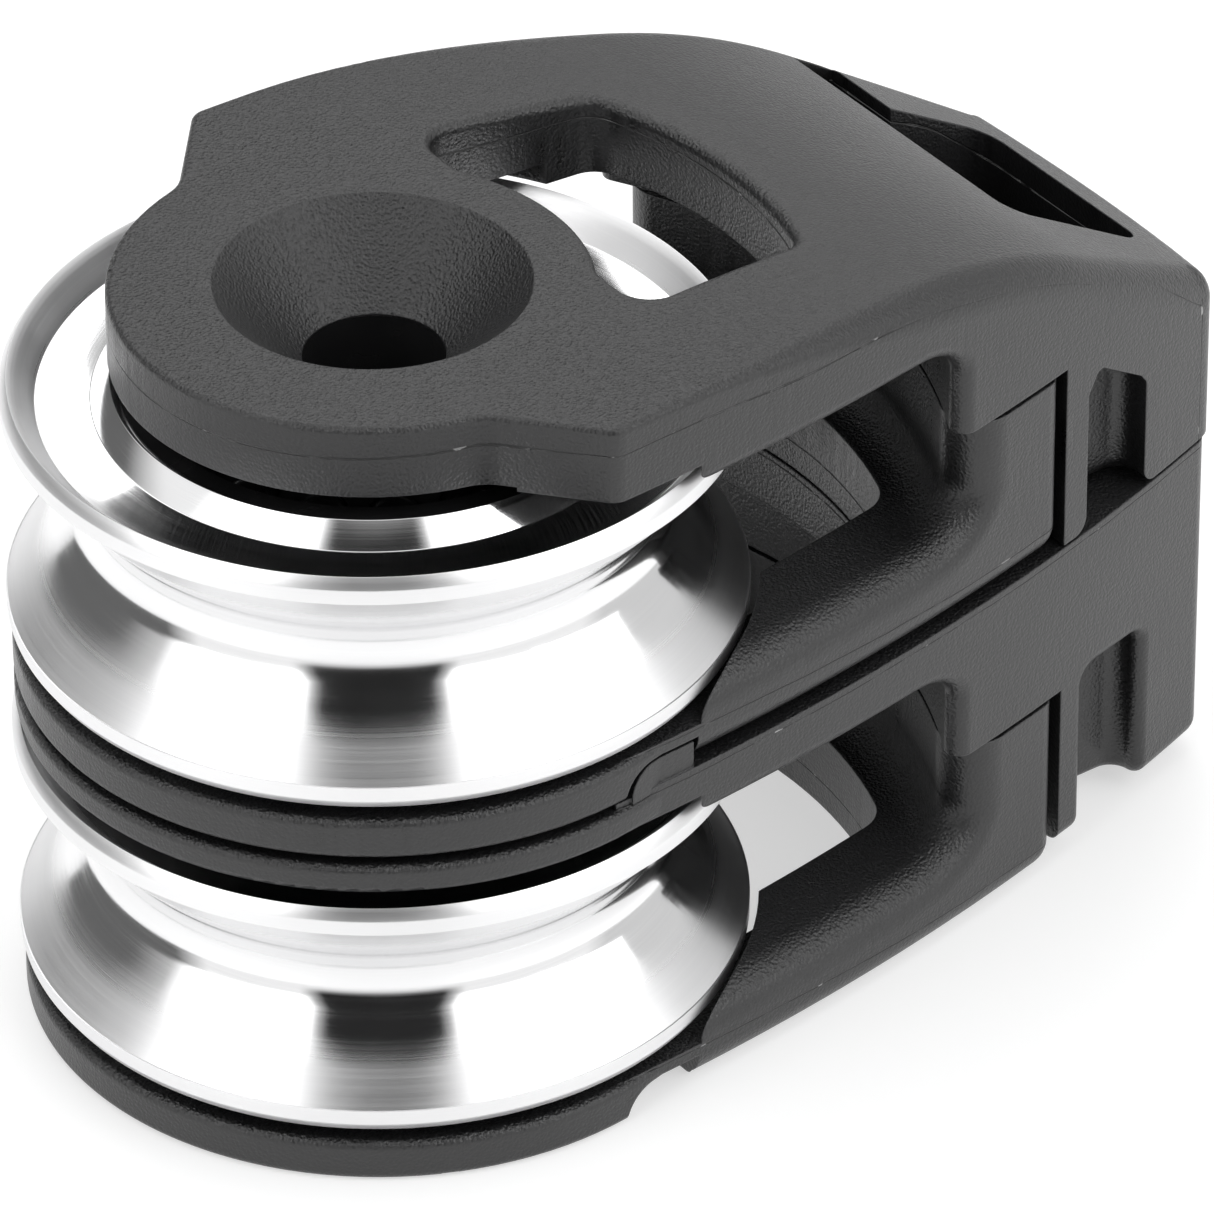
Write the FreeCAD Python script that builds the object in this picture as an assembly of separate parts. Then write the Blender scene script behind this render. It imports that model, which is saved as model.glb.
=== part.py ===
import FreeCAD, Part
import math
import os

# Double sheave block: two grooved sheaves turn on one upright axis between
# four black mouldings. Millimetres, +Z up, origin on the sheave axis in the
# plane the block stands on, +X from the axis towards the tail.

V = FreeCAD.Vector

# -------------------------------------------------------------------- sheaves
SHEAVE_R = 19.0            # outer radius of both sheaves
SHEAVE_HALF = 6.97         # mid-plane to the crest of each rim
RIM_BAND = 1.43            # crest of the rim to the mouth of the groove
GROOVE_ANGLE = 48.0        # groove flank to mid-plane
GROOVE_BOTTOM_R = 2.6

# ------------------------------------------------------------------- bearings
BALL_R = 1.55
BALL_PCR = 10.8            # pitch circle of balls and rollers
BALL_PITCH = 2.42          # spacing round the circle, in ball radii
RUNNING_FIT = 0.03
CAGE_FIT = 0.28            # cage to race
POCKET_FIT = 0.1           # ball or roller to its cage pocket
RETAINER_H = 0.5
RETAINER_WALL = 1.1
RETAINER_SEAT = 0.57       # counterbore for the retainer, wider than the race
RETAINER_DROP = 0.97       # crest of the rim to the underside of the retainer
BALL_COUNT = int(2 * math.pi * BALL_PCR / (BALL_PITCH * BALL_R))
RACE_R = BALL_PCR - BALL_R - RUNNING_FIT
SHEAVE_BORE_R = BALL_PCR + BALL_R + RUNNING_FIT
RETAINER_R = SHEAVE_BORE_R + RETAINER_SEAT
RETAINER_Z = SHEAVE_HALF - RETAINER_DROP
BALL_ROW = RETAINER_Z - BALL_R + 0.18      # the balls stand just proud of it
ROLLER_LEN = 2 * (BALL_ROW - BALL_R - 0.58)

# ----------------------------------- heights in one unit, from its underside
DISC_TOP = 2.33            # nose disc under the sheave
RIM_GAP = 0.82             # disc to the sheave's lower rim
FLOOR_TOP = 4.6            # raised floor behind the sheave
POST_RISE = 0.58           # base post above the sheave's mid-plane
STUB_GAP = 0.27            # parting gap between post and stub
CAP_GAP = 0.96             # sheave's upper rim to the cap above it
ARM_DROP = 1.3             # the arms hang this much below the nose
CAP_NOSE_H = 1.6           # nose disc of the middle cap
NOSE_SEAM = 0.55           # open seam between middle cap and upper base
SEAM = 0.2                 # the same seam along the flanks
SHEAVE_MID = DISC_TOP + RIM_GAP + SHEAVE_HALF
POST_TOP = SHEAVE_MID + POST_RISE
STUB_BOTTOM = POST_TOP + STUB_GAP
CAP_NOSE_UNDER = SHEAVE_MID + SHEAVE_HALF + CAP_GAP
CAP_UNDER = CAP_NOSE_UNDER - ARM_DROP
UNIT_PITCH = CAP_NOSE_UNDER + CAP_NOSE_H + NOSE_SEAM
SEAM_Z = UNIT_PITCH - SEAM
MID_SEAT = 1.05            # the middle cap's tail hangs clear of the deck

# ------------------------------------------------------- plan of the mouldings
NOSE_R = SHEAVE_R - 0.2    # nose discs of bases and middle cap
FLANK_START = 76.47        # angle on the nose disc where each flank begins
SIDE_FRONT = (NOSE_R * math.cos(math.radians(FLANK_START)),
              NOSE_R * math.sin(math.radians(FLANK_START)))
SIDE_MID = (SHEAVE_R + 6.3, SHEAVE_R - 3.15)
TAIL_X = SHEAVE_R + 27.1   # corner of the tail
TAIL_HALF = 10.3
TAIL_BULGE = 0.9           # the tail end is slightly convex
TAIL_CORNER_R = 1.5
BODY_FRONT = 1.5           # the flanks start inside the nose disc
POCKET_R = SHEAVE_R + 0.45
BAY_R = SHEAVE_R + 10.3    # concave wall behind each rope bay
BAY_COVE = 2.2             # root radius of that wall
POST_CORNER_R = 2.0        # upright corner between bay wall and flank
DISC_EDGE_R = 0.45         # rounding of the nose disc
FLANK_EDGE_R = 0.15        # lower edge of the base's flanks
BASE_REAR_X = BAY_R + 3.9  # rear face of both bases
POST_SLOT = 0.4            # gap between that face and the cap's rib
RIB_FRONT_X = BASE_REAR_X + POST_SLOT
RECESS_X0 = RIB_FRONT_X + 1.8
RECESS_X1 = TAIL_X - 5.7
RECESS_Y = TAIL_HALF - 0.1
WINDOW_IN = SHEAVE_R - 1.4
WINDOW_OUT = BAY_R - 2.6
WINDOW_WALL = 5.6

# -------------------------------------------------------------- bolts and keys
BORE_R = 3.65              # bolt hole through the whole stack
CSK_R = 8.13               # 90 degree countersink in the top cap
SPIGOT_H = 0.55            # centre of the top cap, standing on the upper hub
TAIL_BOLT_X = TAIL_X - 6.1
TAIL_BOLT_R = 2.75
TAIL_BOSS_R = 5.2
KEY_X0, KEY_X1 = 2.45, 6.6
KEY_H = 1.35               # height above the joint plane
KEY_R = 1.5
KEY_FIT = 0.3

# --------------------------------------------------------------------- top cap
TOP_LIFT = 0.25            # its nose sits higher over the rim
TOP_NOSE_H = 4.05
TOP_NOSE_R = CSK_R + 5.32
TOP_UNDER = UNIT_PITCH + CAP_NOSE_UNDER + TOP_LIFT
TOP_Z = TOP_UNDER + TOP_NOSE_H
NECK = (-3.0, TOP_NOSE_R - 0.55)    # the slanted shoulder lines aim at this point
SHOULDER_X = 1.7           # and meet the flanks here
NECK_R = 2.6
TOP_TAIL_X = TAIL_X + 0.35  # stands slightly proud of the cap below
CROWN_X, CROWN_R = 5.0, 97.0    # the top starts to fall here, slowly
HOOD_X, HOOD_R = 25.0, 34.0     # and more steeply from here
HOOD_END = 35.5                 # straight fall behind this
TOP_WIN_IN = CSK_R + 3.17
TOP_WIN_OUT = 21.9
TOP_WIN_X = 9.6            # front of its corners
TOP_WIN_HALF = 9.8         # half width there; it narrows like the flanks
TOP_WIN_TAPER = 0.11
FLANK_RIM_R = 2.0          # rounding along flanks and tail
NOSE_RIM_R = 0.35
WINDOW_RIM_R = 0.5
POCKET_X0, POCKET_X1 = RECESS_X0 + 0.1, TAIL_X - 1.6
POCKET_HALF = 6.7
POCKET_FLOOR = 3.1


# -------------------------------------------------------------------- helpers
def cyl(r, z0, z1, x=0.0):
    return Part.makeCylinder(r, z1 - z0, V(x, 0, z0))


def box(x0, x1, y0, y1, z0, z1):
    return Part.makeBox(x1 - x0, y1 - y0, z1 - z0, V(x0, y0, z0))


def line(a, b):
    return Part.LineSegment(a, b).toShape()


def arc(a, b, c):
    return Part.Arc(a, b, c).toShape()


def prism(edges, z0, z1):
    """Solid of a closed plan outline given as edges at z = 0."""
    solid = Part.Face(Part.Wire(edges)).extrude(V(0, 0, z1 - z0))
    solid.translate(V(0, 0, z0))
    return solid


def revolve(points):
    """Ring turned about the Z axis from an outline in r and z."""
    pts = [V(r, 0, z) for r, z in points]
    face = Part.Face(Part.makePolygon(pts + pts[:1]))
    return face.revolve(V(0, 0, 0), V(0, 0, 1), 360)


def rounded(shape, radius, choose):
    """Round the chosen edges; a wall too thin for the radius takes a smaller one."""
    for r in (radius, radius * 0.7, radius * 0.4):
        try:
            out = shape.makeFillet(r, [e for e in shape.Edges if choose(e)])
            if out.isValid() and out.Volume > 0:
                return out
        except Exception:
            pass
    return shape


def upright(e):
    box_ = e.BoundBox
    return box_.XLength < 1e-5 and box_.YLength < 1e-5 and box_.ZLength > 1e-5


def level(e, z):
    return abs(e.BoundBox.ZMin - z) < 1e-4 and abs(e.BoundBox.ZMax - z) < 1e-4


def across(e):
    """Straight edge along Y."""
    return e.BoundBox.XLength < 1e-5 and e.BoundBox.ZLength < 1e-5


def around(shape, count):
    """Equally spaced copies about the Z axis."""
    out = []
    for i in range(count):
        s = shape.copy()
        s.rotate(V(0, 0, 0), V(0, 0, 1), 360.0 * i / count)
        out.append(s)
    return out


# ---------------------------------------------------------------- plan outline
def flank_circle():
    """Centre and radius of the arc that each flank follows."""
    edge = arc(V(*SIDE_FRONT, 0), V(*SIDE_MID, 0), V(TAIL_X, TAIL_HALF, 0))
    return edge.Curve.Center, edge.Curve.Radius


FLANK_C, FLANK_R = flank_circle()


def flank_y(x):
    return FLANK_C.y + math.sqrt(FLANK_R ** 2 - (x - FLANK_C.x) ** 2)


def flank_arc(x0, x1, sign, inset=0.0):
    return arc(*[V(x, sign * (flank_y(x) - inset), 0) for x in (x0, (x0 + x1) / 2, x1)])


def body_prism(x0, x1, z0, z1, bulge=0.0, inset=0.0):
    """Everything between the two flanks from x0 to x1."""
    yf, yr = flank_y(x0) - inset, flank_y(x1) - inset
    if bulge:
        rear = arc(V(x1, yr, 0), V(x1 + bulge, 0, 0), V(x1, -yr, 0))
    else:
        rear = line(V(x1, yr, 0), V(x1, -yr, 0))
    front = line(V(x0, -yf, 0), V(x0, yf, 0))
    return prism([flank_arc(x0, x1, 1, inset), rear, flank_arc(x0, x1, -1, inset), front], z0, z1)


def bay_cutter(z0, z1, up):
    """Round rope bay space whose floor (or ceiling) edge is coved."""
    c = cyl(BAY_R, z0, z1)
    z = z0 if up else z1
    return c.makeFillet(BAY_COVE, [e for e in c.Edges if level(e, z)])


def post_corner(e):
    """Upright corner where the bay wall meets a flank."""
    return upright(e) and BAY_R - 6 < e.CenterOfMass.x < BAY_R - 2


def ring_window(z0, z1):
    """Window behind the sheave in bases and middle cap."""
    ring = cyl(WINDOW_OUT, z0, z1).cut(cyl(WINDOW_IN, z0 - 1, z1 + 1))
    win = ring.common(body_prism(SHEAVE_R - 10, BASE_REAR_X, z0, z1, inset=WINDOW_WALL))
    return rounded(win, 2.2, lambda e: upright(e) and e.CenterOfMass.x > SHEAVE_R - 5)


def key_shape(x0, x1, z0, z1, r):
    """Upright bar across both flanks whose front top corner is round."""
    y, k = -30.0, r * (1 - math.sqrt(0.5))
    edges = [
        line(V(x0, y, z0), V(x0, y, z1 - r)),
        arc(V(x0, y, z1 - r), V(x0 + k, y, z1 - k), V(x0 + r, y, z1)),
        line(V(x0 + r, y, z1), V(x1, y, z1)),
        line(V(x1, y, z1), V(x1, y, z0)),
        line(V(x1, y, z0), V(x0, y, z0)),
    ]
    return Part.Face(Part.Wire(edges)).extrude(V(0, 60, 0))


# ------------------------------------------------------------------- mouldings
def base(z0):
    """Base moulding: nose disc, raised floor, and the post block behind the bay."""
    top = z0 + POST_TOP
    disc = cyl(NOSE_R, z0, z0 + DISC_TOP)
    disc = disc.makeFillet(DISC_EDGE_R, [e for e in disc.Edges if e.BoundBox.ZLength < 1e-6])
    body = body_prism(BODY_FRONT, BASE_REAR_X, z0, top)
    body = rounded(body, 1.3, lambda e: upright(e) and e.CenterOfMass.x > BASE_REAR_X - 1)
    body = rounded(body, 1.6, lambda e: level(e, z0) and e.CenterOfMass.x > BASE_REAR_X - 0.1)
    body = rounded(body, FLANK_EDGE_R, lambda e: level(e, z0) and 6 < e.CenterOfMass.x < BASE_REAR_X - 2)
    s = disc.fuse(body).removeSplitter()
    s = s.cut(cyl(BORE_R, z0 - 1, top + 1))
    s = s.cut(bay_cutter(z0 + FLOOR_TOP, top + 1, True))
    s = s.cut(cyl(POCKET_R, z0 + DISC_TOP, top + 1))
    s = rounded(s, POST_CORNER_R, lambda e: post_corner(e) and e.CenterOfMass.z > z0 + FLOOR_TOP)
    s = s.cut(ring_window(z0 - 1, z0 + FLOOR_TOP + 1))
    # key notch under each shoulder: round at the front, square behind
    notch = key_shape(KEY_X0 - 2 * KEY_FIT, KEY_X1 + KEY_FIT - 0.05, z0 - 1,
                      z0 + KEY_H + KEY_FIT, KEY_R + KEY_FIT + 0.1)
    s = s.cut(notch.cut(box(-40, 40, -NOSE_R + 4.2, NOSE_R - 4.2, z0 - 2, top)))
    # cored-out back of the post block
    cell = POCKET_HALF / 2 + 0.05
    for y in (-8.6, 0.0, 8.6):
        s = s.cut(box(BAY_R + 1.9, BASE_REAR_X + 1, y - cell, y + cell, z0 + 3.0, top - 1.6))
    return s


def tail_recesses(z_seat, profile, corner_r):
    """Side recess of a cap's tail on each flank; profile gives its sloping top."""
    pts = [(RECESS_X0, z_seat - 1)] + profile + [(RECESS_X1, z_seat - 1)]
    pts = [V(x, 0, z) for x, z in pts]
    face = Part.Face(Part.makePolygon(pts + pts[:1]))
    out = []
    for sgn in (-1, 1):
        s = face.extrude(V(0, sgn * 12, 0))
        s.translate(V(0, sgn * RECESS_Y, 0))
        s = rounded(s, corner_r, lambda e: across(e) and e.CenterOfMass.z > z_seat)
        out.append(rounded(s, 1.0, lambda e: upright(e) and abs(e.CenterOfMass.y) < RECESS_Y + 0.1))
    return out


def tail_cuts(s, z_seat, slot_top, profile, corner_r):
    """Room for the base's post, the side recesses and the rounded foot of each rib."""
    s = s.cut(box(-BASE_REAR_X, RIB_FRONT_X, -25, 25, z_seat - 1, slot_top))
    for recess in tail_recesses(z_seat, profile, corner_r):
        s = s.cut(recess)
    foot = (RECESS_X0 - 0.01, RECESS_X0 + 0.01)
    return rounded(s, 0.9, lambda e: level(e, z_seat) and foot[0] < e.CenterOfMass.x < foot[1])


def top_plan():
    """Plan outline of the top cap: small nose, slanted shoulders, flanks, tail end."""
    ys = flank_y(SHOULDER_X)
    dx, dy = SHOULDER_X - NECK[0], ys - NECK[1]
    length = math.hypot(dx, dy)
    dx, dy = dx / length, dy / length
    nx, ny = -dy, dx                       # outward from the slanted line
    # blend arc: touches the nose circle from outside and the slanted line
    bx, by = SHOULDER_X + nx * NECK_R, ys + ny * NECK_R
    dot = bx * dx + by * dy
    t = dot - math.sqrt(dot ** 2 - (bx ** 2 + by ** 2 - (TOP_NOSE_R + NECK_R) ** 2))
    cx, cy = bx - t * dx, by - t * dy
    k = TOP_NOSE_R / (TOP_NOSE_R + NECK_R)
    on_nose = (cx * k, cy * k)
    on_line = (cx - nx * NECK_R, cy - ny * NECK_R)
    mx, my = (on_nose[0] + on_line[0]) / 2 - cx, (on_nose[1] + on_line[1]) / 2 - cy
    q = NECK_R / math.hypot(mx, my)
    middle = (cx + mx * q, cy + my * q)

    def at(p, sign):
        return V(p[0], sign * p[1], 0)

    half = flank_y(TOP_TAIL_X)
    tail = arc(V(TOP_TAIL_X, half, 0), V(TOP_TAIL_X + TAIL_BULGE, 0, 0), V(TOP_TAIL_X, -half, 0))
    edges = [tail,
             arc(at(on_nose, -1), V(-TOP_NOSE_R, 0, 0), at(on_nose, 1))]
    for sign in (-1, 1):
        edges.append(flank_arc(SHOULDER_X, TOP_TAIL_X, sign))
        edges.append(line(V(SHOULDER_X, sign * ys, 0), at(on_line, sign)))
        edges.append(arc(at(on_line, sign), at(middle, sign), at(on_nose, sign)))
    return Part.__sortEdges__(edges)


def crown():
    """Points of the side view of the top: flat, slow fall, steep fall, straight."""
    a0 = math.asin((HOOD_X - CROWN_X) / CROWN_R)
    a1 = math.asin(math.sin(a0) + (HOOD_END - HOOD_X) / HOOD_R)
    z_hood = TOP_Z - CROWN_R * (1 - math.cos(a0))

    def on_slow(a):
        return V(CROWN_X + CROWN_R * math.sin(a), -30, TOP_Z - CROWN_R * (1 - math.cos(a)))

    def on_steep(a):
        return V(HOOD_X + HOOD_R * (math.sin(a) - math.sin(a0)), -30,
                 z_hood - HOOD_R * (math.cos(a0) - math.cos(a)))

    end = on_steep(a1)
    far = V(TAIL_X + 4, -30, end.z - math.tan(a1) * (TAIL_X + 4 - end.x))
    slow = arc(V(CROWN_X, -30, TOP_Z), on_slow(a0 / 2), on_slow(a0))
    steep = arc(on_slow(a0), on_steep((a0 + a1) / 2), end)
    return slow, steep, line(end, far), far


def crown_cutter():
    """All that lies above the top cap."""
    slow, steep, fall, far = crown()
    high = TOP_Z + 5
    edges = [
        line(V(-30, -30, TOP_Z), V(CROWN_X, -30, TOP_Z)), slow, steep, fall,
        line(far, V(far.x, -30, high)),
        line(V(far.x, -30, high), V(-30, -30, high)),
        line(V(-30, -30, high), V(-30, -30, TOP_Z)),
    ]
    return Part.Face(Part.Wire(edges)).extrude(V(0, 60, 0))


def rim_edge(e):
    """Upper outline of the top cap, without the seams across its crown."""
    c = e.CenterOfMass
    seam = abs(c.y) < 0.1 and 4 < c.x < TAIL_X - 0.1
    return e.BoundBox.ZMin > UNIT_PITCH + 8 and not upright(e) and not seam


def rim_radius(point):
    """Tight about the nose, growing along the slow fall of the flanks."""
    share = min(max((point.x - CROWN_X) / (HOOD_X - CROWN_X), 0), 1)
    return NOSE_RIM_R + share * (FLANK_RIM_R - NOSE_RIM_R)


def soften_rim(s):
    """Rounds the upper outline with a radius that changes along it."""
    doc = FreeCAD.newDocument()
    sharp = doc.addObject("Part::Feature", "sharp")
    sharp.Shape = s
    soft = doc.addObject("Part::Fillet", "soft")
    soft.Base = sharp
    soft.Edges = [(n, rim_radius(e.valueAt(e.FirstParameter)), rim_radius(e.valueAt(e.LastParameter)))
                  for n, e in enumerate(s.Edges, 1) if rim_edge(e)]
    doc.recompute()
    return soft.Shape.copy()


def window_rim(e):
    c = e.CenterOfMass
    inside = TOP_WIN_IN - 4 < c.x < TOP_WIN_OUT + 1 and abs(c.y) < TOP_WIN_HALF + 0.3
    return inside and e.BoundBox.ZMin > TOP_Z - 2.2


def countersink():
    depth = CSK_R - BORE_R
    return Part.makeCone(BORE_R, CSK_R, depth, V(0, 0, TOP_Z - depth))


def top_cap():
    """Top cap: small countersunk nose, shoulders, window and the curved hood."""
    seat = UNIT_PITCH
    s = prism(top_plan(), seat, TOP_Z + 1)
    s = rounded(s, TAIL_CORNER_R, lambda e: upright(e) and e.CenterOfMass.x > TAIL_X - 1)
    s = rounded(s, 1.1, lambda e: upright(e) and abs(e.CenterOfMass.x - SHOULDER_X) < 0.1)
    s = soften_rim(s.cut(crown_cutter()))
    # rope bay below the arms, and the recess over the sheave
    s = s.cut(bay_cutter(seat - 1, UNIT_PITCH + CAP_UNDER, False))
    s = s.cut(cyl(POCKET_R, seat - 1, TOP_UNDER - TOP_LIFT))
    s = s.cut(cyl(SHEAVE_BORE_R + 2.2, seat - 1, TOP_UNDER))
    s = s.fuse(cyl(RACE_R, TOP_UNDER - SPIGOT_H, TOP_UNDER + 1))
    top = UNIT_PITCH + 9.7
    profile = [(RECESS_X0, top - 1.3), (RECESS_X0 + 0.9, top),
               (RECESS_X1 - 0.5, top - 2.55), (RECESS_X1, top - 3.2)]
    s = tail_cuts(s, seat, UNIT_PITCH + STUB_BOTTOM, profile, 0.5)
    s = rounded(s, POST_CORNER_R, post_corner)
    # centre pocket of the hood, reaching further on the far flank
    pocket = box(POCKET_X0, POCKET_X1, -POCKET_HALF, POCKET_HALF, seat + POCKET_FLOOR, TOP_Z)
    s = s.cut(rounded(pocket, 1.5, upright))
    s = s.cut(box(POCKET_X0, POCKET_X0 + 2.5, 0, flank_y(POCKET_X0) - 1.7, seat + 11, TOP_Z))
    s = s.cut(cyl(TAIL_BOLT_R, seat - 1, seat + POCKET_FLOOR + 1, TAIL_BOLT_X))
    # window, countersink and bolt hole
    ring = cyl(TOP_WIN_OUT, TOP_UNDER - 3, TOP_Z + 1).cut(cyl(TOP_WIN_IN, TOP_UNDER - 4, TOP_Z + 2))
    far = 25.0
    rear_half = TOP_WIN_HALF - TOP_WIN_TAPER * (far - TOP_WIN_X)
    plan = [(TOP_WIN_X, -TOP_WIN_HALF), (far, -rear_half), (far, rear_half), (TOP_WIN_X, TOP_WIN_HALF)]
    plan = [V(x, y, TOP_UNDER - 3) for x, y in plan]
    wedge = Part.Face(Part.makePolygon(plan + plan[:1])).extrude(V(0, 0, 4 + TOP_NOSE_H))
    win = rounded(ring.common(wedge), 1.7, upright)
    s = rounded(s.cut(win), WINDOW_RIM_R, window_rim)
    return s.cut(countersink()).cut(cyl(BORE_R, seat, TOP_Z))


def mid_cap():
    """Middle cap: closes the lower unit and carries the upper one."""
    seat = MID_SEAT
    s = body_prism(BODY_FRONT, TAIL_X, seat, SEAM_Z, TAIL_BULGE)
    s = rounded(s, TAIL_CORNER_R, lambda e: upright(e) and e.CenterOfMass.x > TAIL_X - 1)
    s = rounded(s, 0.9, lambda e: level(e, seat) and e.CenterOfMass.x > TAIL_X - 6)
    s = s.cut(bay_cutter(seat - 1, CAP_UNDER, False))
    disc = cyl(NOSE_R, CAP_NOSE_UNDER, CAP_NOSE_UNDER + CAP_NOSE_H)
    disc = disc.makeFillet(0.4, [e for e in disc.Edges if e.BoundBox.ZLength < 1e-6])
    s = s.cut(cyl(POCKET_R, seat - 1, CAP_NOSE_UNDER)).fuse(disc)
    top = SHEAVE_MID + 1.0
    profile = [(RECESS_X0, top), (RECESS_X1, top - 0.3)]
    s = tail_cuts(s, seat, STUB_BOTTOM, profile, 0.9)
    s = rounded(s, POST_CORNER_R, post_corner)
    pocket = box(POCKET_X0, POCKET_X1, -POCKET_HALF, POCKET_HALF, seat - 1, SEAM_Z - 3.0)
    s = s.cut(rounded(pocket, 1.5, upright))
    s = s.fuse(cyl(TAIL_BOSS_R, seat, UNIT_PITCH, TAIL_BOLT_X))
    s = s.cut(cyl(TAIL_BOLT_R, seat - 1, UNIT_PITCH + 1, TAIL_BOLT_X))
    s = s.cut(ring_window(CAP_UNDER - 3, SEAM_Z + 1))
    # keys that stand in the notches of the base above
    outline = cyl(NOSE_R - 0.12, 0, 40).fuse(body_prism(BODY_FRONT, 12, 0, 40, inset=0.12))
    outline = outline.cut(cyl(NOSE_R - 3.8, -1, 41))
    key = key_shape(KEY_X0, KEY_X1, SEAM_Z - 1, UNIT_PITCH + KEY_H, KEY_R)
    s = s.fuse(key.common(outline).common(box(KEY_X0, KEY_X1, -30, 30, 0, 40)))
    # centre land that carries the clamping load of the bolt
    s = s.fuse(cyl(RACE_R, SEAM_Z - 1, UNIT_PITCH))
    return s.cut(cyl(BORE_R, seat, UNIT_PITCH + 1)).removeSplitter()


# ----------------------------------------------------------- sheaves, bearings
def sheave(zm):
    """Aluminium sheave: rounded V groove, bevelled rims, dished faces."""
    mouth = SHEAVE_HALF - RIM_BAND
    lip = 0.07                 # the rim stands a hair proud of the groove's mouth
    apex = SHEAVE_R - lip - mouth / math.tan(math.radians(GROOVE_ANGLE))
    bore, h = SHEAVE_BORE_R, SHEAVE_HALF
    half = [(bore, 0), (bore, RETAINER_Z), (RETAINER_R, RETAINER_Z), (RETAINER_R, h - 0.42),
            (bore + 1.0, h - 0.18), (bore + 2.0, h - 1.45), (SHEAVE_R - 1.8, h - 1.49),
            (SHEAVE_R - 0.9, h - 0.46), (SHEAVE_R - 0.4, h), (SHEAVE_R, h - 0.6),
            (SHEAVE_R, mouth + 0.02), (SHEAVE_R - lip, mouth)]
    s = revolve(half + [(apex, 0.0)] + [(r, -z) for r, z in reversed(half[1:])])

    def root(e):
        return level(e, 0.0) and abs(e.BoundBox.XMax - apex) < 1e-3

    s = s.makeFillet(GROOVE_BOTTOM_R, [e for e in s.Edges if root(e)])
    s.translate(V(0, 0, zm))
    return s


def hub(z0, z1):
    """Fixed hub that the balls and rollers run on; the bolt clamps it."""
    return cyl(RACE_R, z0, z1).cut(cyl(BORE_R, z0 - 1, z1 + 1)).cut(countersink())


def balls(z):
    return Part.makeCompound(around(Part.makeSphere(BALL_R, V(BALL_PCR, 0, z)), BALL_COUNT))


def ball_cage(z, sign):
    """Snap-in cage, a ring with one pocket per ball, deeper on its inner side."""
    thick, thin = BALL_R - 0.35, BALL_R - 0.7
    z0, z1 = (z - thick, z + thin) if sign > 0 else (z - thin, z + thick)
    s = cyl(SHEAVE_BORE_R - CAGE_FIT, z0, z1).cut(cyl(RACE_R + CAGE_FIT, z0 - 1, z1 + 1))
    pocket = Part.makeSphere(BALL_R + POCKET_FIT, V(BALL_PCR, 0, z))
    return s.cut(Part.makeCompound(around(pocket, BALL_COUNT)))


def rollers(zm):
    one = cyl(BALL_R, zm - ROLLER_LEN / 2, zm + ROLLER_LEN / 2, BALL_PCR)
    one = one.makeFillet(0.25, [e for e in one.Edges if e.BoundBox.ZLength < 1e-6])
    return Part.makeCompound(around(one, BALL_COUNT))


def roller_cage(zm):
    h = ROLLER_LEN / 2
    wall = CAGE_FIT + 0.2
    s = cyl(SHEAVE_BORE_R - wall, zm - h - 0.35, zm + h + 0.35)
    s = s.cut(cyl(RACE_R + wall, zm - h - 1, zm + h + 1))
    slot = cyl(BALL_R + POCKET_FIT, zm - h - POCKET_FIT, zm + h + POCKET_FIT, BALL_PCR)
    return s.cut(Part.makeCompound(around(slot, BALL_COUNT)))


def retainer(zm, sign):
    """Ring pressed into the sheave's counterbore over the ball row."""
    z0 = zm + RETAINER_Z if sign > 0 else zm - RETAINER_Z - RETAINER_H
    ring = cyl(RETAINER_R, z0, z0 + RETAINER_H)
    return ring.cut(cyl(RETAINER_R - RETAINER_WALL, z0 - 1, z0 + 2))


# ---------------------------------------------------------------------- export
def main():
    parts = {
        "lower_base": base(0.0),
        "mid_cap": mid_cap(),
        "upper_base": base(UNIT_PITCH),
        "top_cap": top_cap(),
    }
    for name, z0, hub_top in (("lower", 0.0, CAP_NOSE_UNDER),
                              ("upper", UNIT_PITCH, TOP_UNDER - SPIGOT_H)):
        zm = z0 + SHEAVE_MID
        parts[name + "_sheave"] = sheave(zm)
        parts[name + "_hub"] = hub(z0 + DISC_TOP, hub_top)
        parts[name + "_rollers"] = rollers(zm)
        parts[name + "_roller_cage"] = roller_cage(zm)
        for side, sign in (("top", 1), ("bottom", -1)):
            z = zm + sign * BALL_ROW
            parts[name + "_balls_" + side] = balls(z)
            parts[name + "_ball_cage_" + side] = ball_cage(z, sign)
            parts[name + "_retainer_" + side] = retainer(zm, sign)
    os.makedirs("parts", exist_ok=True)
    for node, shape in parts.items():
        print(node, len(shape.Solids), "solid(s)", "valid", shape.isValid(),
              "volume %.0f mm3" % shape.Volume)
        shape.exportStep("parts/%s.step" % node)


main()
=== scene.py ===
import bpy
import math
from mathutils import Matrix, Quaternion, Vector

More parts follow.
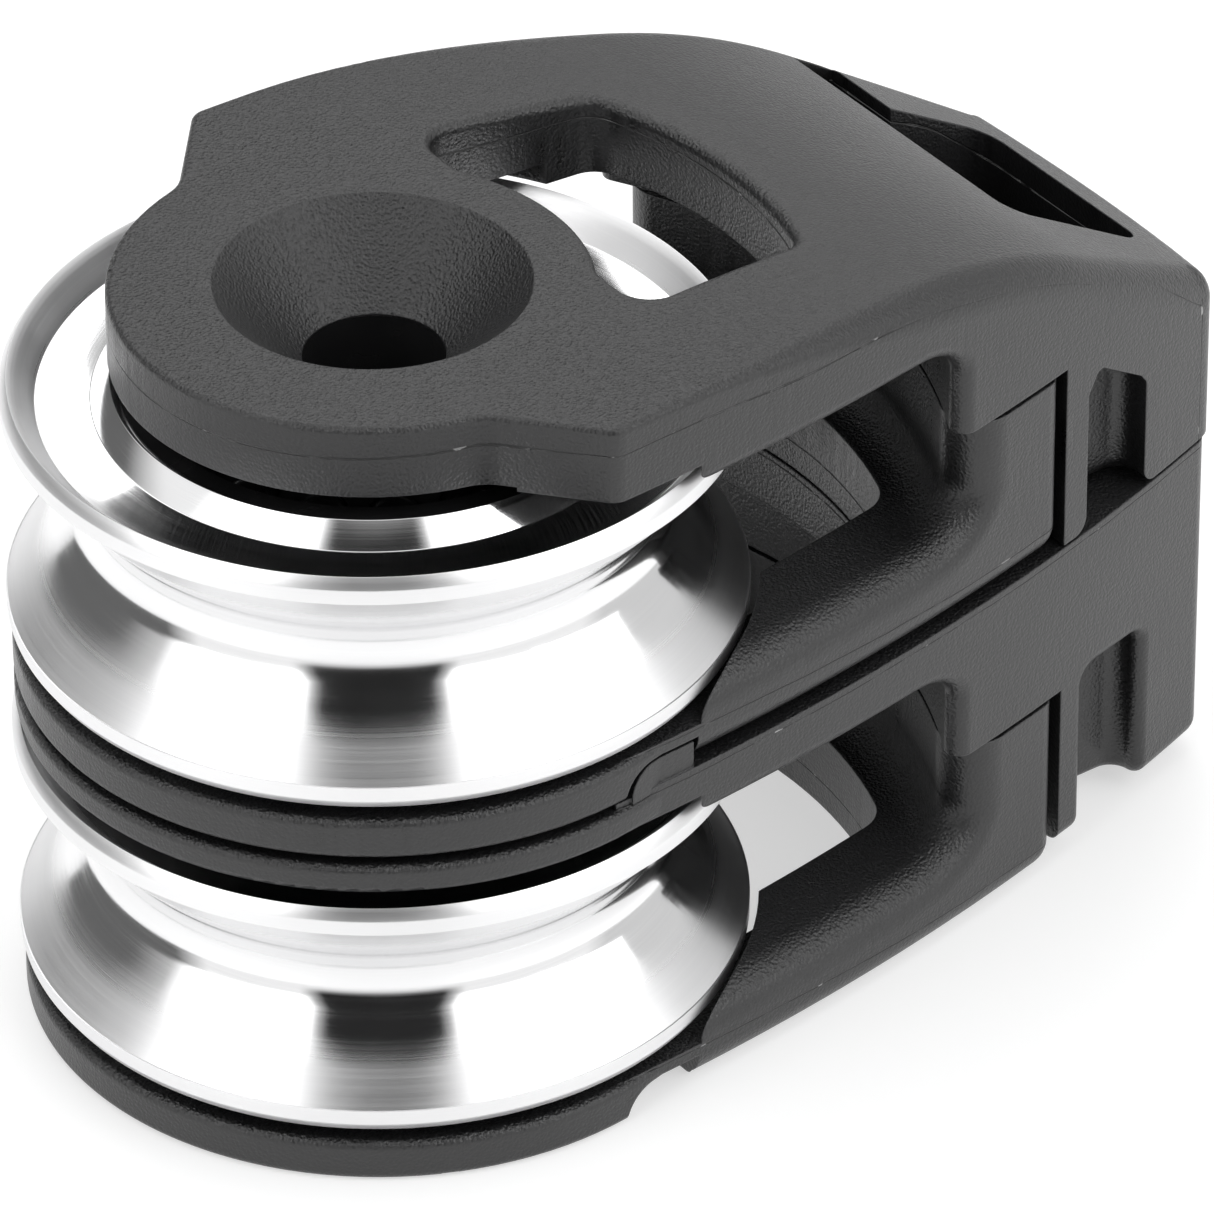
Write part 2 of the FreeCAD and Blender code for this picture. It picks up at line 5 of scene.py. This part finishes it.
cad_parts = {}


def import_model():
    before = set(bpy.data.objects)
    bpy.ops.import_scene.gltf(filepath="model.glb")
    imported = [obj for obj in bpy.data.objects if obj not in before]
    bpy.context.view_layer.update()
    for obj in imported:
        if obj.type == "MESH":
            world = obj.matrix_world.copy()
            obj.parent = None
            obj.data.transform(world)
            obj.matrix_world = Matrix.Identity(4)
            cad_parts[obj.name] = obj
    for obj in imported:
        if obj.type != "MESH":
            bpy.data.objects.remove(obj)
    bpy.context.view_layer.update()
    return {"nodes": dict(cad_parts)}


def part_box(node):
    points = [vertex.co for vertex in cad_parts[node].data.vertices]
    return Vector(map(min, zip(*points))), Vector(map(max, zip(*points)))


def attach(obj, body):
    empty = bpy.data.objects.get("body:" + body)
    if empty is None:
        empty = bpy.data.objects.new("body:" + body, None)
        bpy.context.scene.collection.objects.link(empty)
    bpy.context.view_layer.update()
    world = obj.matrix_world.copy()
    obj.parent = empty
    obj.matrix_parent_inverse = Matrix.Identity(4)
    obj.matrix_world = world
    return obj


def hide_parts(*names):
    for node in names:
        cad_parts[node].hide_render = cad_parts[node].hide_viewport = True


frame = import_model()
MM = 0.001


# ---------------------------------------------------------------------------
# Lower and upper base.  Two like mouldings in black glass-filled nylon, each a
# nose disc, a floor with a window and a post block that carries the cap above.
# The tool was spark eroded, so every face keeps a fine, matt, pebbled grain.
NYLON_BLACK = (0.0025, 0.0025, 0.0027, 1)
NYLON_GREY = (0.013, 0.013, 0.0137, 1)
# Painted highlight: lighter grey laid on the rounded edges of the nylon.
NYLON_EDGE_HIGHLIGHT = (0.075, 0.075, 0.078, 1)
SEAM_BLACK = (0.001, 0.001, 0.001, 1)
# Painted highlight: light grey for the specks of flash, standing in for their glints.
FLASH_GLINT_GREY = (0.5, 0.5, 0.5, 1)
GRAIN_SCALE = 5200.0
GRAIN_DEPTH = 0.07 * MM
EDGE_BREAK = 0.16 * MM
SEAM_WIDTH = 0.06 * MM
SEAM_WAVER = 0.22 * MM


def add(tree, kind, *links, **values):
    """A node with its input sockets linked or set in order; None leaves one alone."""
    n = tree.nodes.new(kind)
    for key, value in values.items():
        setattr(n, key, value)
    for socket, link in zip(n.inputs, links):
        if isinstance(link, bpy.types.NodeSocket):
            tree.links.new(link, socket)
        elif link is not None:
            socket.default_value = link
    return n


def maths(tree, operation, *links):
    return add(tree, "ShaderNodeMath", *links, operation=operation).outputs[0]


def remap(tree, value, low, high, to_low, to_high):
    return add(tree, "ShaderNodeMapRange", value, low, high, to_low, to_high).outputs[0]


def noise(tree, place, scale, detail=2.0, roughness=0.5):
    n = add(tree, "ShaderNodeTexNoise", place)
    n.inputs["Scale"].default_value = scale
    n.inputs["Detail"].default_value = detail
    n.inputs["Roughness"].default_value = roughness
    return n.outputs[0]


def blend_colour(tree, share, first, second):
    n = tree.nodes.new("ShaderNodeMix")
    n.data_type = "RGBA"
    for socket, value in ((n.inputs[0], share), (n.inputs[6], first), (n.inputs[7], second)):
        if isinstance(value, bpy.types.NodeSocket):
            tree.links.new(value, socket)
        else:
            socket.default_value = value
    return n.outputs[2]


def new_material(name):
    """Material with its tree, its Principled shader and the piece's own coordinates."""
    m = bpy.data.materials.new(name)
    m.use_nodes = True
    place = m.node_tree.nodes.new("ShaderNodeTexCoord").outputs["Object"]
    return m, m.node_tree, m.node_tree.nodes["Principled BSDF"], place


def roughen(tree, shader, height, strength, distance, normal=None):
    """Bump that carries the height into the shader's normal."""
    bump = tree.nodes.new("ShaderNodeBump")
    bump.inputs["Strength"].default_value = strength
    bump.inputs["Distance"].default_value = distance
    tree.links.new(height, bump.inputs["Height"])
    if normal is not None:
        tree.links.new(normal, bump.inputs["Normal"])
    tree.links.new(bump.outputs[0], shader.inputs["Normal"])


def new_group(name, inputs, outputs):
    """Shader node group with float or vector inputs and float outputs."""
    group = bpy.data.node_groups.new(name, "ShaderNodeTree")
    for label, kind, value in inputs:
        s = group.interface.new_socket(label, in_out="INPUT", socket_type=kind)
        if value is not None:
            s.default_value = value
    for label in outputs:
        group.interface.new_socket(label, in_out="OUTPUT", socket_type="NodeSocketFloat")
    return group, group.nodes.new("NodeGroupInput"), group.nodes.new("NodeGroupOutput")


def use_group(tree, group, **values):
    n = tree.nodes.new("ShaderNodeGroup")
    n.node_tree = group
    for label, value in values.items():
        socket = n.inputs[label.replace("_", " ")]
        if isinstance(value, bpy.types.NodeSocket):
            tree.links.new(value, socket)
        else:
            socket.default_value = value
    return n


def spark_eroded_group():
    """Pebbled grain of a spark-eroded tool, with fine drag streaks on upright faces."""
    g, i, o = new_group("spark eroded grain",
                        [("Place", "NodeSocketVector", None), ("Grain", "NodeSocketFloat", GRAIN_SCALE),
                         ("Streaks", "NodeSocketFloat", 0.3)],
                        ["Height", "Tone"])
    place = i.outputs["Place"]
    grain = i.outputs["Grain"]
    coarse = add(g, "ShaderNodeTexNoise", place)
    g.links.new(grain, coarse.inputs["Scale"])
    coarse.inputs["Detail"].default_value = 3.0
    coarse.inputs["Roughness"].default_value = 0.62
    pits = add(g, "ShaderNodeTexVoronoi", place)
    g.links.new(grain, pits.inputs["Scale"])
    lows = maths(g, "MULTIPLY", remap(g, pits.outputs["Distance"], 0.0, 0.7, 0.0, 1.0), 0.55)
    height = maths(g, "ADD", coarse.outputs[0], lows)
    upright = add(g, "ShaderNodeSeparateXYZ",
                  g.nodes.new("ShaderNodeNewGeometry").outputs["Normal"]).outputs[2]
    side = remap(g, maths(g, "ABSOLUTE", upright), 0.25, 0.7, 1.0, 0.0)
    squash = add(g, "ShaderNodeVectorMath", place, (1.0, 1.0, 0.07), operation="MULTIPLY")
    drag = noise(g, squash.outputs[0], 1900.0, 3.0, 0.6)
    patch = remap(g, noise(g, place, 160.0, 1.0), 0.47, 0.62, 0.0, 1.0)
    streak = maths(g, "MULTIPLY", maths(g, "MULTIPLY", side, patch), i.outputs["Streaks"])
    streak = maths(g, "MULTIPLY", streak, maths(g, "SUBTRACT", drag, 0.5))
    flat = maths(g, "SUBTRACT", 1.0, maths(g, "MULTIPLY", side, 0.55))
    height = maths(g, "MULTIPLY", maths(g, "SUBTRACT", height, 0.6), flat)
    g.links.new(maths(g, "ADD", height, streak), o.inputs["Height"])
    cloud = noise(g, place, 90.0)
    tone = maths(g, "ADD", maths(g, "MULTIPLY", cloud, 0.5), maths(g, "MULTIPLY", height, 0.5))
    g.links.new(maths(g, "ADD", tone, maths(g, "MULTIPLY", streak, 2.0)), o.inputs["Tone"])
    return g


def parting_line_group():
    """Where the two halves of the tool met: a dark hair line with specks of flash, painted light grey
    as glints.
    """
    g, i, o = new_group("parting line",
                        [("Place", "NodeSocketVector", None), ("Distance", "NodeSocketFloat", 1.0),
                         ("Width", "NodeSocketFloat", SEAM_WIDTH)],
                        ["Line", "Flash glint"])
    waver = maths(g, "MULTIPLY", maths(g, "SUBTRACT", noise(g, i.outputs["Place"], 260.0), 0.5),
                  SEAM_WAVER)
    off = maths(g, "ABSOLUTE", maths(g, "ADD", i.outputs["Distance"], waver))
    line = maths(g, "SUBTRACT", 1.0, maths(g, "DIVIDE", off, i.outputs["Width"]))
    line = add(g, "ShaderNodeClamp", line).outputs[0]
    geometry = g.nodes.new("ShaderNodeNewGeometry").outputs["Normal"]
    upright = add(g, "ShaderNodeSeparateXYZ", geometry).outputs[2]
    side = remap(g, maths(g, "ABSOLUTE", upright), 0.2, 0.45, 1.0, 0.0)
    line = maths(g, "MULTIPLY", line, side)
    broken = remap(g, noise(g, i.outputs["Place"], 520.0), 0.36, 0.46, 0.25, 1.0)
    g.links.new(maths(g, "MULTIPLY", line, broken), o.inputs["Line"])
    # Painted highlight: scattered specks along the line that take light grey in place of glints on the
    # flash.
    glint_specks = remap(g, noise(g, i.outputs["Place"], 900.0), 0.66, 0.70, 0.0, 1.0)
    g.links.new(maths(g, "MULTIPLY", line, glint_specks), o.inputs["Flash glint"])
    return g


SPARK_ERODED = spark_eroded_group()
PARTING_LINE = parting_line_group()


def nylon(name, line_distance, streaks=0.5):
    """Black nylon; line_distance builds the signed distance to its parting line."""
    m, t, shader, place = new_material(name)
    skin = use_group(t, SPARK_ERODED, Place=place, Grain=GRAIN_SCALE, Streaks=streaks)
    seam = use_group(t, PARTING_LINE, Place=place, Distance=line_distance(t, place))
    tone = remap(t, skin.outputs["Tone"], 0.1, 0.5, 0.0, 1.0)
    colour = blend_colour(t, tone, NYLON_BLACK, NYLON_GREY)
    edge = t.nodes.new("ShaderNodeBevel")
    edge.samples = 6
    edge.inputs["Radius"].default_value = EDGE_BREAK
    face = t.nodes.new("ShaderNodeNewGeometry").outputs["Normal"]
    turned = add(t, "ShaderNodeVectorMath", edge.outputs[0], face, operation="DOT_PRODUCT")
    # Painted highlight: where the bevel normal turns away from the face, the edges get a lighter grey
    # base colour.
    painted_edge_highlight = remap(t, turned.outputs["Value"], 0.97, 0.80, 0.0, 0.6)
    colour = blend_colour(t, painted_edge_highlight, colour, NYLON_EDGE_HIGHLIGHT)
    colour = blend_colour(t, seam.outputs["Line"], colour, SEAM_BLACK)
    # Painted highlight: the flash specks get light grey in the base colour.
    colour = blend_colour(t, seam.outputs["Flash glint"], colour, FLASH_GLINT_GREY)
    t.links.new(colour, shader.inputs["Base Color"])
    t.links.new(remap(t, skin.outputs["Tone"], 0.1, 0.5, 0.27, 0.42), shader.inputs["Roughness"])
    shader.inputs["Specular IOR Level"].default_value = 0.7
    groove = maths(t, "MULTIPLY", seam.outputs["Line"], 1.5)
    height = maths(t, "SUBTRACT", skin.outputs["Height"], groove)
    roughen(t, shader, height, 1.0, GRAIN_DEPTH, edge.outputs[0])
    return m


def level_line(height, fall):
    """A parting line at one height that falls slightly towards the tail."""
    def distance(tree, place):
        split = add(tree, "ShaderNodeSeparateXYZ", place).outputs
        tailward = remap(tree, split[0], FALL_START, FALL_END, 0.0, 1.0)
        drop = maths(tree, "MULTIPLY", tailward, fall)
        return maths(tree, "SUBTRACT", maths(tree, "ADD", split[2], drop), height)
    return distance


BASE_LINE = 2.2 * MM
BASE_LINE_FALL = 0.6 * MM
FALL_START = 8 * MM
FALL_END = 26 * MM


def finish_node(node, material):
    """Puts a finish in the one slot of a CAD node."""
    frame["nodes"][node].data.materials[0] = material


for unit in ("lower", "upper"):
    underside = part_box(unit + "_base")[0].z
    finish_node(unit + "_base", nylon(unit + " base nylon",
                                      level_line(underside + BASE_LINE, BASE_LINE_FALL)))


# ---------------------------------------------------------------------------
# Hubs.  One turned black acetal hub per sheave, clamped between base and cap
# by the bolt; balls and rollers run on its outside.  Hidden but for its bore.
RING_DEPTH = 0.01 * MM


def about_axis(tree, place):
    """Radius about the sheave axis, and the place as (radius, height) for tool rings."""
    x, y, height = add(tree, "ShaderNodeSeparateXYZ", place).outputs
    radius = maths(tree, "SQRT", maths(tree, "ADD", maths(tree, "MULTIPLY", x, x),
                                       maths(tree, "MULTIPLY", y, y)))
    return radius, add(tree, "ShaderNodeCombineXYZ", radius, height).outputs[0]


def turned_acetal(name, lightness, roughness):
    """Smooth machined plastic with faint tool rings about the sheave axis."""
    m, t, shader, place = new_material(name)
    ringwise = about_axis(t, place)[1]
    rings = noise(t, ringwise, 9000.0, 2.0)
    cloud = noise(t, place, 400.0, 2.0)
    dark = (lightness * 0.7, lightness * 0.7, lightness * 0.72, 1)
    light = (lightness * 1.5, lightness * 1.5, lightness * 1.55, 1)
    t.links.new(blend_colour(t, cloud, dark, light), shader.inputs["Base Color"])
    t.links.new(remap(t, cloud, 0.3, 0.7, roughness * 0.8, roughness * 1.3),
                shader.inputs["Roughness"])
    roughen(t, shader, rings, 0.25, RING_DEPTH)
    return m


ACETAL = turned_acetal("black acetal", 0.011, 0.22)
for unit in ("lower", "upper"):
    finish_node(unit + "_hub", ACETAL)


# ---------------------------------------------------------------------------
# Roller and ball rows.  Black polished balls and rollers stand in snap-in
# cages between hub and sheave, so the sheave turns on them without a shaft.
BALL_FINISH = turned_acetal("polished black ball", 0.006, 0.07)
for unit in ("lower", "upper"):
    finish_node(unit + "_rollers", BALL_FINISH)
    finish_node(unit + "_roller_cage", ACETAL)
    for side in ("top", "bottom"):
        finish_node(unit + "_balls_" + side, BALL_FINISH)
        finish_node(unit + "_ball_cage_" + side, ACETAL)
        finish_node(unit + "_retainer_" + side, ACETAL)


# ---------------------------------------------------------------------------
# Sheaves.  Two like wheels turned from aluminium bar and polished: a V groove
# with a round bottom, bevelled rims and dished faces.  The tool leaves fine
# rings about the axis, which draw the light out into fans across the groove.
SHEAVE_R = 19.0
SHEAVE_HALF = 6.97
BORE_R = 12.38
RACE_SEAT_R = 12.95
DISH_END_R = 17.2
MOUTH_R = 18.93
MOUTH_HALF = 5.54
ROOT_R = 2.6
GROOVE_SLOPE = math.radians(48)
ROOT_STEPS = 8
CHAMFER = 0.05
ALUMINIUM_DULL = (0.80, 0.80, 0.81, 1)
ALUMINIUM_BRIGHT = (0.93, 0.93, 0.93, 1)
RIM_DULL_FROM = 16.4 * MM
RIM_DULL_TO = 17.6 * MM


def turned_aluminium():
    """Bare metal whose rings stretch each highlight across the groove."""
    m, t, shader, place = new_material("turned aluminium")
    shader.inputs["Metallic"].default_value = 1.0
    shader.inputs["Anisotropic"].default_value = 0.7
    shader.inputs["Anisotropic Rotation"].default_value = 0.25
    radius, ringwise = about_axis(t, place)
    fine = noise(t, ringwise, 14000.0, 2.0, 0.7)
    broad = noise(t, ringwise, 1600.0, 3.0, 0.6)
    rings = maths(t, "ADD", maths(t, "MULTIPLY", fine, 0.6), maths(t, "MULTIPLY", broad, 0.4))
    cloud = noise(t, place, 260.0, 2.0)
    t.links.new(blend_colour(t, rings, ALUMINIUM_DULL, ALUMINIUM_BRIGHT), shader.inputs["Base Color"])
    rough = maths(t, "ADD", remap(t, rings, 0.35, 0.65, 0.06, 0.13),
                  remap(t, cloud, 0.4, 0.7, 0.0, 0.03))
    rough = maths(t, "ADD", rough, remap(t, radius, RIM_DULL_FROM, RIM_DULL_TO, 0.0, 0.24))
    t.links.new(rough, shader.inputs["Roughness"])
    roughen(t, shader, rings, 0.10, RING_DEPTH)
    tangent = t.nodes.new("ShaderNodeTangent")
    tangent.direction_type = "RADIAL"
    tangent.axis = "Z"
    t.links.new(tangent.outputs[0], shader.inputs["Tangent"])
    return m


ALUMINIUM = turned_aluminium()


def lathe_tree():
    """Sweeps a closed outline, drawn beside the axis, once round a circle."""
    g = bpy.data.node_groups.new("lathe", "GeometryNodeTree")
    face = g.interface
    face.new_socket("Outline", in_out="INPUT", socket_type="NodeSocketGeometry")
    for label, kind in (("Guide radius", "NodeSocketFloat"), ("Steps", "NodeSocketInt"),
                        ("Finish", "NodeSocketMaterial")):
        face.new_socket(label, in_out="INPUT", socket_type=kind)
    face.new_socket("Turned", in_out="OUTPUT", socket_type="NodeSocketGeometry")
    i, o = g.nodes.new("NodeGroupInput"), g.nodes.new("NodeGroupOutput")
    outline = add(g, "GeometryNodeMeshToCurve", i.outputs["Outline"])
    circle = g.nodes.new("GeometryNodeCurvePrimitiveCircle")
    g.links.new(i.outputs["Guide radius"], circle.inputs["Radius"])
    g.links.new(i.outputs["Steps"], circle.inputs["Resolution"])
    swept = g.nodes.new("GeometryNodeCurveToMesh")
    g.links.new(circle.outputs["Curve"], swept.inputs["Curve"])
    g.links.new(outline.outputs[0], swept.inputs["Profile Curve"])
    finish_off(g, swept.outputs[0], i.outputs["Finish"], o)
    return g


def finish_off(g, geometry, finish, output):
    """The usual end of a tree: smooth, real geometry, material."""
    smooth = g.nodes.new("GeometryNodeSetShadeSmooth")
    real = g.nodes.new("GeometryNodeRealizeInstances")
    paint = g.nodes.new("GeometryNodeSetMaterial")
    g.links.new(geometry, smooth.inputs["Geometry"])
    g.links.new(smooth.outputs[0], real.inputs[0])
    g.links.new(real.outputs[0], paint.inputs["Geometry"])
    g.links.new(finish, paint.inputs["Material"])
    g.links.new(paint.outputs[0], output.inputs[0])


def grow(name, tree, start, values, lift=0.0, sharp=math.radians(28)):
    """Runs a tree on a start mesh and keeps the result as a plain mesh piece."""
    o = bpy.data.objects.new(name, start)
    bpy.context.scene.collection.objects.link(o)
    m = o.modifiers.new("tree", "NODES")
    m.node_group = tree
    for item in tree.interface.items_tree:
        if item.in_out == "INPUT" and item.name in values:
            m[item.identifier] = values[item.name]
    grown = bpy.data.meshes.new_from_object(o.evaluated_get(bpy.context.evaluated_depsgraph_get()))
    o.modifiers.clear()
    o.data = grown
    for v in grown.vertices:
        v.co.z += lift
    grown.set_sharp_from_angle(angle=sharp)
    return o


def chamfered(points, size):
    """Outline with every sharp corner cut by a small two-step edge break."""
    out = []
    count = len(points)
    for k, (x, y) in enumerate(points):
        (ax, ay), (bx, by) = points[k - 1], points[(k + 1) % count]
        ua, ub = Vector((ax - x, ay - y)), Vector((bx - x, by - y))
        turn = math.pi - ua.angle(ub)
        if turn < math.radians(18) or min(ua.length, ub.length) < 3 * size:
            out.append((x, y))
            continue
        ua.normalize()
        ub.normalize()
        out += [(x + ua.x * size, y + ua.y * size),
                (x + (ua.x + ub.x) * size * 0.28, y + (ua.y + ub.y) * size * 0.28),
                (x + ub.x * size, y + ub.y * size)]
    return out


def sheave_outline():
    """Half section of a sheave in millimetres, from its middle plane, bore first."""
    race_floor = 6.0
    race_lip = SHEAVE_HALF - 0.42
    upper = [(BORE_R, 0.0), (BORE_R, race_floor), (RACE_SEAT_R, race_floor), (RACE_SEAT_R, race_lip),
             (BORE_R + 1.0, SHEAVE_HALF - 0.18), (BORE_R + 2.0, SHEAVE_HALF - 1.45),
             (DISH_END_R, SHEAVE_HALF - 1.49), (SHEAVE_R - 0.9, SHEAVE_HALF - 0.46),
             (SHEAVE_R - 0.4, SHEAVE_HALF), (SHEAVE_R, SHEAVE_HALF - 0.6),
             (SHEAVE_R, MOUTH_HALF + 0.02), (MOUTH_R, MOUTH_HALF)]
    apex = MOUTH_R - MOUTH_HALF / math.tan(GROOVE_SLOPE)
    centre = apex + ROOT_R / math.sin(GROOVE_SLOPE)
    arc = []
    for k in range(ROOT_STEPS + 1):
        a = (math.pi / 2 - GROOVE_SLOPE) * (1 - k / ROOT_STEPS)
        arc.append((centre - ROOT_R * math.cos(a), ROOT_R * math.sin(a)))
    upper = chamfered(upper, CHAMFER) + arc
    lower = [(r, -z) for r, z in reversed(upper[1:-1])]
    return upper + lower


LATHE = lathe_tree()
outline = sheave_outline()
GUIDE = 5.0
STEPS = 360
for unit in ("lower", "upper"):
    lo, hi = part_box(unit + "_sheave")
    start = bpy.data.meshes.new(unit + " outline")
    start.from_pydata([((r - GUIDE) * MM, -z * MM, 0) for r, z in outline],
                      [(k, (k + 1) % len(outline)) for k in range(len(outline))], [])
    wheel = grow(unit + "_turned_sheave", LATHE, start,
                 {"Guide radius": GUIDE * MM, "Steps": STEPS, "Finish": ALUMINIUM},
                 lift=(lo.z + hi.z) / 2)
    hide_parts(unit + "_sheave")
    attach(wheel, unit + "_sheave")


# ---------------------------------------------------------------------------
# Middle cap.  Black nylon moulding that closes the lower unit and carries the
# upper base, with keys that stand in the notches of that base.
MID_LINE = 0.55 * MM
mid_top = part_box("upper_base")[0].z
finish_node("mid_cap", nylon("middle cap nylon", level_line(mid_top - MID_LINE, 0.0), streaks=0.25))


# ---------------------------------------------------------------------------
# Top cap.  The largest black nylon moulding: countersunk nose, window, arms
# and a hood over the tail.  Its parting line follows the crown down the tail.
CROWN_LINE_DROP = 1.6 * MM
CROWN_SPAN = 50 * MM
CROWN_FALL = 16 * MM
UPRIGHT_LINE_X = 45.3 * MM
UPRIGHT_LINE_TOP = 29.0 * MM


def crown_line(tree, place):
    """Distance to the parting line: level on the nose, down the hood, then upright."""
    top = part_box("top_cap")[1].z
    split = add(tree, "ShaderNodeSeparateXYZ", place).outputs
    curve = tree.nodes.new("ShaderNodeFloatCurve")
    # share of the span from the axis, and height as a share of the fall
    points = ((0.0, 1.0), (0.16, 1.0), (0.274, 0.975), (0.396, 0.961), (0.534, 0.872), (0.63, 0.772),
              (0.74, 0.597), (0.806, 0.49), (0.85, 0.378), (0.89, 0.27), (1.0, 0.0))
    own = curve.mapping.curves[0].points
    own[0].location = points[0]
    own[1].location = points[-1]
    for x, y in points[1:-1]:
        own.new(x, y)
    curve.mapping.update()
    tree.links.new(maths(tree, "DIVIDE", split[0], CROWN_SPAN), curve.inputs["Value"])
    drop = maths(tree, "MULTIPLY", maths(tree, "SUBTRACT", curve.outputs[0], 1.0), CROWN_FALL)
    falling = maths(tree, "SUBTRACT", split[2], maths(tree, "ADD", drop, top - CROWN_LINE_DROP))
    upright = maths(tree, "ABSOLUTE", maths(tree, "SUBTRACT", split[0], UPRIGHT_LINE_X))
    upright = maths(tree, "MAXIMUM", upright, maths(tree, "SUBTRACT", split[2], UPRIGHT_LINE_TOP))
    return maths(tree, "MINIMUM", maths(tree, "ABSOLUTE", falling), upright)


finish_node("top_cap", nylon("top cap nylon", crown_line))


# ---------------------------------------------------------------------------
# Floor, soft light and camera.  A plain pale sheet under the block, even light
# all round it, and a long lens above the nose.
FLOOR_SIDE = 3.0
FLOOR_GAP = 0.05 * MM


def studio():
    """Pale sheet that the block stands on; it glows a little, so it stays white."""
    mesh = bpy.data.meshes.new("floor")
    side = FLOOR_SIDE
    mesh.from_pydata([(-side, -side, 0), (side, -side, 0), (side, side, 0), (-side, side, 0)], [],
                     [(0, 1, 2, 3)])
    floor = bpy.data.objects.new("floor", mesh)
    bpy.context.scene.collection.objects.link(floor)
    m, _, shader, _ = new_material("pale floor")
    shader.inputs["Base Color"].default_value = (0.5, 0.5, 0.5, 1)
    shader.inputs["Emission Color"].default_value = (1, 1, 1, 1)
    shader.inputs["Emission Strength"].default_value = 0.55
    shader.inputs["Roughness"].default_value = 0.6
    mesh.materials.append(m)
    floor.location.z = -FLOOR_GAP


studio()


VIEW_AZIMUTH = math.radians(-36.18)
VIEW_ELEVATION = math.radians(34.9)
VIEW_ROLL = math.radians(0.36)
VIEW_DISTANCE = 579.8 * MM
VIEW_CENTRE = Vector((9.404 * MM, -6.877 * MM, 22.43 * MM))
LENS = 336.04

SKY_LEVEL = 0.98
BOX_LEVEL = 1.6
LEFT_SHADE = 0.86
RIGHT_SHADE = 0.30
REAR_SHADE = 0.30
GAP_SHADE = 0.98


def towards(azimuth, elevation):
    """Unit vector from the block to a place round and above it."""
    return Vector((math.sin(azimuth) * math.cos(elevation),
                   -math.cos(azimuth) * math.cos(elevation), math.sin(elevation)))


back = towards(VIEW_AZIMUTH, VIEW_ELEVATION)


def world():
    """Even white surroundings: a dark gap at the camera, greyer low down at one side."""
    w = bpy.data.worlds.new("studio")
    bpy.context.scene.world = w
    w.use_nodes = True
    t = w.node_tree
    t.nodes.clear()
    way = t.nodes.new("ShaderNodeTexCoord").outputs["Generated"]
    x, y, up = add(t, "ShaderNodeSeparateXYZ", way).outputs
    level_back = Vector((back.x, back.y)).normalized()
    ahead = maths(t, "ADD", maths(t, "MULTIPLY", x, level_back.x),
                  maths(t, "MULTIPLY", y, level_back.y))
    aside = maths(t, "ADD", maths(t, "MULTIPLY", x, -level_back.y),
                  maths(t, "MULTIPLY", y, level_back.x))
    around = add(t, "ShaderNodeMath", aside, ahead, operation="ARCTAN2").outputs[0]
    off = maths(t, "ABSOLUTE", around)

    def band(value, start, full, fade, end):
        """1 between full and fade, falling to 0 at start and end."""
        return maths(t, "MULTIPLY", remap(t, value, start, full, 0.0, 1.0),
                     remap(t, value, fade, end, 1.0, 0.0))

    deg = math.radians
    # dark gap where the camera stands, between two bright boxes
    gap = maths(t, "MULTIPLY", remap(t, off, deg(22), deg(30), 1.0, 0.0),
                band(up, 0.05, 0.25, 0.86, 0.95))
    boxes = maths(t, "MULTIPLY", band(off, deg(26), deg(33), deg(72), deg(84)),
                  band(up, 0.36, 0.46, 0.84, 0.93))
    # shade low down at the left, less at the right and behind
    left = remap(t, around, deg(-66), deg(-80), 0.0, LEFT_SHADE)
    right = remap(t, around, deg(78), deg(88), 0.0, RIGHT_SHADE)
    low = remap(t, up, 0.55, 0.38, 0.0, 1.0)
    shade = maths(t, "MULTIPLY", maths(t, "MAXIMUM", left, right), low)
    rear = maths(t, "MULTIPLY", remap(t, ahead, -0.25, -0.5, 0.0, REAR_SHADE),
                 remap(t, up, 0.80, 0.66, 0.0, 1.0))
    shade = maths(t, "MAXIMUM", maths(t, "MAXIMUM", shade, rear),
                  maths(t, "MULTIPLY", gap, GAP_SHADE))
    level = maths(t, "MULTIPLY", maths(t, "SUBTRACT", 1.0, shade), SKY_LEVEL)
    level = maths(t, "ADD", level, maths(t, "MULTIPLY", boxes, BOX_LEVEL))
    lit = add(t, "ShaderNodeBackground", (1, 1, 1, 1), level)
    plain = add(t, "ShaderNodeBackground", (1, 1, 1, 1), 1.0)
    camera = t.nodes.new("ShaderNodeLightPath").outputs["Is Camera Ray"]
    mix = add(t, "ShaderNodeMixShader", camera, lit.outputs[0], plain.outputs[0])
    out = t.nodes.new("ShaderNodeOutputWorld")
    t.links.new(mix.outputs[0], out.inputs[0])


world()


def softbox(name, azimuth, elevation, distance, size, power):
    """Rectangular area light that faces the middle of the block."""
    light = bpy.data.lights.new(name, "AREA")
    light.shape = "RECTANGLE"
    light.size, light.size_y = size
    light.energy = power
    o = bpy.data.objects.new(name, light)
    way = towards(math.radians(azimuth), math.radians(elevation))
    o.location = VIEW_CENTRE + way * distance
    o.rotation_mode = "QUATERNION"
    o.rotation_quaternion = (-way).to_track_quat("-Z", "Y")
    bpy.context.scene.collection.objects.link(o)


softbox("softbox behind", 150, 50, 0.6, (0.5, 0.4), 0.9)
softbox("softbox right", 40, 35, 0.6, (0.4, 0.3), 0.35)

camera = bpy.data.objects.new("camera", bpy.data.cameras.new("camera"))
camera.data.lens = LENS
camera.data.clip_start = 0.01
camera.location = VIEW_CENTRE + back * VIEW_DISTANCE
camera.rotation_mode = "QUATERNION"
camera.rotation_quaternion = ((-back).to_track_quat("-Z", "Y")
                              @ Quaternion((0, 0, 1), -VIEW_ROLL))
bpy.context.scene.collection.objects.link(camera)
bpy.context.scene.camera = camera
bpy.context.scene.view_settings.view_transform = "Standard"
